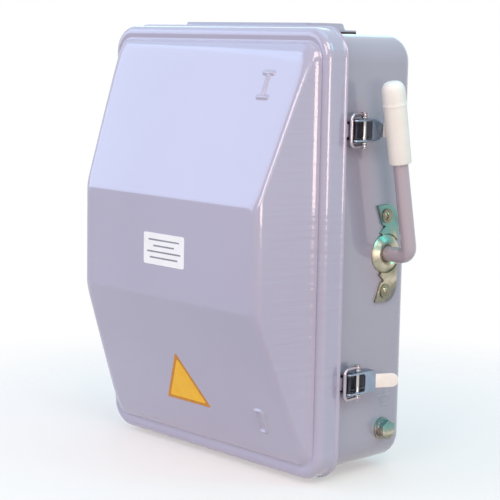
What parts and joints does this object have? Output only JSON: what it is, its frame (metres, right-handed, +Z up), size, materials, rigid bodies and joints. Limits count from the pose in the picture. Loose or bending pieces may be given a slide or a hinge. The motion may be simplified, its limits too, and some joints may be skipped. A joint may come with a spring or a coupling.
{
  "type": "fused switch box",
  "caption": "Wall-mounted sheet-steel switch box with a deep-drawn hinged cover, side handle, toggle latches and a sliding fuse carriage.",
  "frame": {"origin": "centre of the four wall holes, on the wall plane at the body's back", "axes": "+Z up, +Y into the wall, +X towards the handle side; the cover faces -Y"},
  "size_m": [0.3516, 0.1746, 0.4196],
  "materials": {
    "painted_sheet": "gloss enamel",
    "zinc_plate": "yellowish zinc plating",
    "bright_steel": "bright zinc plating",
    "contact_metal": "satin",
    "moulding": "moulded",
    "fuse_ceramic": "glazed",
    "seal": "matt",
    "grip": "milky"
  },
  "bodies": {
    "box": {"body_shell": "painted_sheet", "chassis": "zinc_plate", "chassis_studs": "bright_steel", "upper_contact_base": "moulding", "lower_contact_base": "moulding", "upper_jaws": "contact_metal", "lower_jaws": "contact_metal", "upper_terminal_bolts": "bright_steel", "lower_terminal_bolts": "bright_steel", "bearing_plate": "zinc_plate", "bearing_rivets": "bright_steel", "shaft_bush": "contact_metal", "upper_hinge_bracket": "painted_sheet", "lower_hinge_bracket": "painted_sheet", "upper_hinge_pin": "bright_steel", "lower_hinge_pin": "bright_steel", "top_entry_plate": "painted_sheet", "top_entry_seal": "seal", "top_entry_screws": "bright_steel", "bottom_entry_plate": "painted_sheet", "bottom_entry_seal": "seal", "bottom_entry_screws": "bright_steel", "earth_bolt": "zinc_plate", "earth_washer": "zinc_plate", "earth_spring_washer": "bright_steel", "earth_nut": "zinc_plate", "upper_latch_base": "painted_sheet", "lower_latch_base": "painted_sheet", "upper_latch_pin": "bright_steel", "lower_latch_pin": "bright_steel"},
    "cover": {"cover_shell": "painted_sheet", "cover_seal": "seal", "upper_hinge_leaf": "painted_sheet", "lower_hinge_leaf": "painted_sheet", "upper_keeper": "painted_sheet", "lower_keeper": "painted_sheet"},
    "handle": {"handle_bar": "painted_sheet", "handle_grip": "grip", "crank_arm": "bright_steel", "crank_pin": "bright_steel", "shaft_collar": "bright_steel"},
    "carriage": {"traverse": "moulding", "left_side_plate": "zinc_plate", "right_side_plate": "zinc_plate", "guide_pins": "bright_steel", "fuse_clips": "bright_steel", "left_fuse_body": "fuse_ceramic", "middle_fuse_body": "fuse_ceramic", "right_fuse_body": "fuse_ceramic", "left_fuse_blades": "contact_metal", "middle_fuse_blades": "contact_metal", "right_fuse_blades": "contact_metal"},
    "upper_lever": {"upper_latch_lever": "zinc_plate", "upper_claw_pin": "bright_steel"},
    "upper_claw": {"upper_claw": "zinc_plate"},
    "lower_lever": {"lower_latch_lever": "zinc_plate", "lower_claw_pin": "bright_steel"},
    "lower_claw": {"lower_claw": "zinc_plate"}
  },
  "joints": [
    {"name": "handle_swing", "type": "hinge", "parent": "box", "child": "handle", "pos_m": [0.147, -0.032, 0], "axis": [1, 0, 0], "range_deg": [0, 156]},
    {"name": "carriage_slide", "type": "slide", "parent": "box", "child": "carriage", "axis": [0, -1, 0], "range_m": [0, 0.0388]},
    {"name": "cover_swing", "type": "hinge", "parent": "box", "child": "cover", "pos_m": [-0.1585, -0.0916, 0], "axis": [0, 0, -1], "range_deg": [0, 115]},
    {"name": "upper_lever_swing", "type": "hinge", "parent": "box", "child": "upper_lever", "pos_m": [0.156, -0.086, 0.115], "axis": [0, 0, -1], "range_deg": [0, 2.8]},
    {"name": "upper_claw_swing", "type": "hinge", "parent": "upper_lever", "child": "upper_claw", "pos_m": [0.155, -0.074, 0.115], "axis": [0, 0, 1], "range_deg": [0, 3.72]},
    {"name": "lower_lever_swing", "type": "hinge", "parent": "box", "child": "lower_lever", "pos_m": [0.156, -0.086, -0.115], "axis": [0, 0, -1], "range_deg": [0, 100]},
    {"name": "lower_claw_swing", "type": "hinge", "parent": "lower_lever", "child": "lower_claw", "pos_m": [0.155, -0.074, -0.115], "axis": [0, 0, 1], "range_deg": [0, 115.5]}
  ],
  "couplings": [
    {"joint": "carriage_slide", "follows": "handle_swing", "m_per_rad": 0.014214},
    {"joint": "upper_claw_swing", "follows": "upper_lever_swing", "ratio": 1.15},
    {"joint": "lower_claw_swing", "follows": "lower_lever_swing", "ratio": 1.15}
  ]
}
